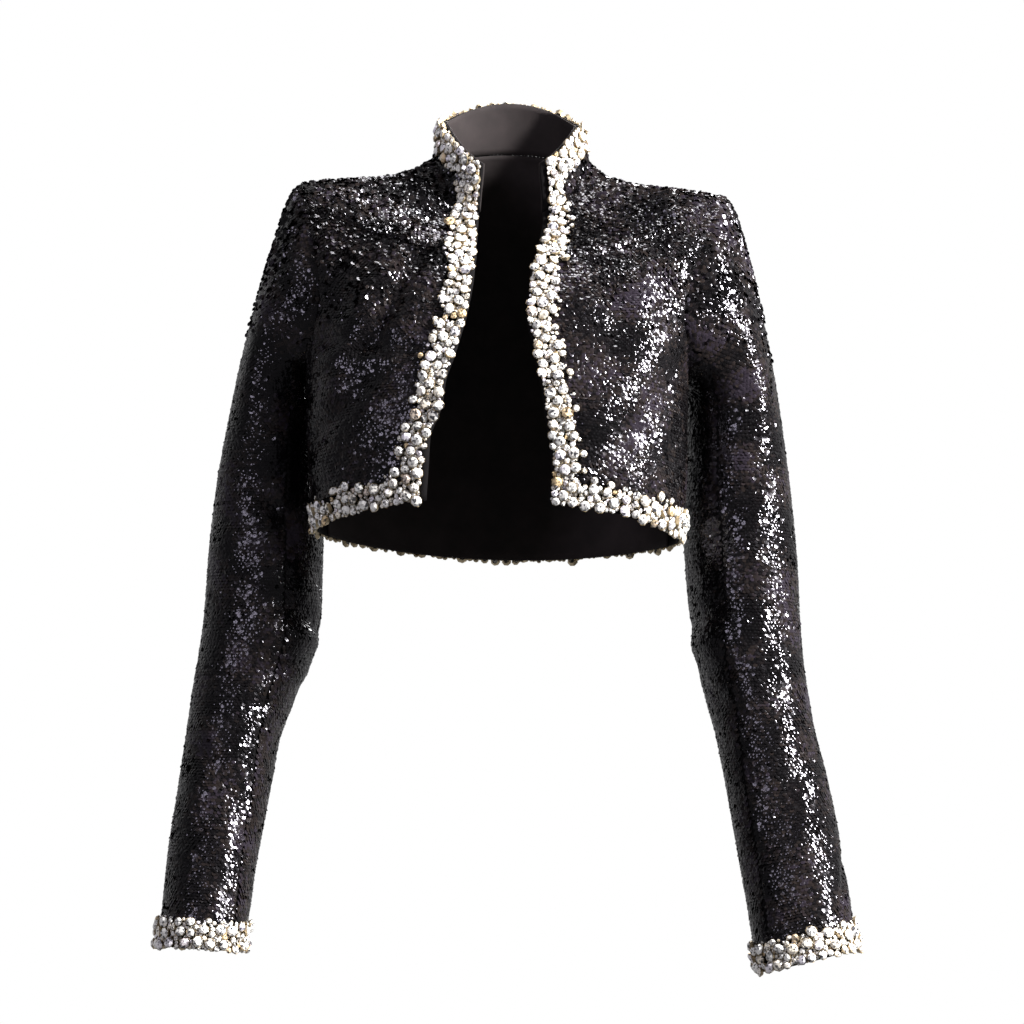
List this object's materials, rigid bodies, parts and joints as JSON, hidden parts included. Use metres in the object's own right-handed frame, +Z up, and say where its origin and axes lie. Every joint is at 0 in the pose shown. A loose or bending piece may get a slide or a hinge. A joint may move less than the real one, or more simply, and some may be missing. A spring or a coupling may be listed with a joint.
{
  "type": "matador jacket",
  "caption": "Cropped sequinned matador jacket with a stand collar, padded shoulders, long set-in sleeves and crystal bands along its edges, in its worn form.",
  "frame": {"origin": "Midway between the two shoulder seams, at the base of the neck, where the wearer's shoulders hold the jacket.", "axes": "X runs to the wearer's left, Y to the wearer's back and Z up."},
  "size_m": [0.6048, 0.2348, 0.7602],
  "materials": {
    "sequinned_cloth": "cloth covered with glossy black sequins",
    "lining_cloth": "dark smooth lining",
    "crystal_band": "clear faceted stones set closely on a narrow band"
  },
  "bodies": {
    "root": {"front_right": "sequinned_cloth", "front_left": "sequinned_cloth", "back": "sequinned_cloth", "collar": "sequinned_cloth", "sleeve_right_upper": "sequinned_cloth", "sleeve_right_under": "sequinned_cloth", "sleeve_left_upper": "sequinned_cloth", "sleeve_left_under": "sequinned_cloth", "lining_back": "lining_cloth", "lining_collar": "lining_cloth", "trim_front_right": "crystal_band", "trim_front_left": "crystal_band", "trim_back": "crystal_band", "trim_collar": "crystal_band", "trim_cuff_right": "crystal_band", "trim_cuff_left": "crystal_band"}
  },
  "joints": []
}
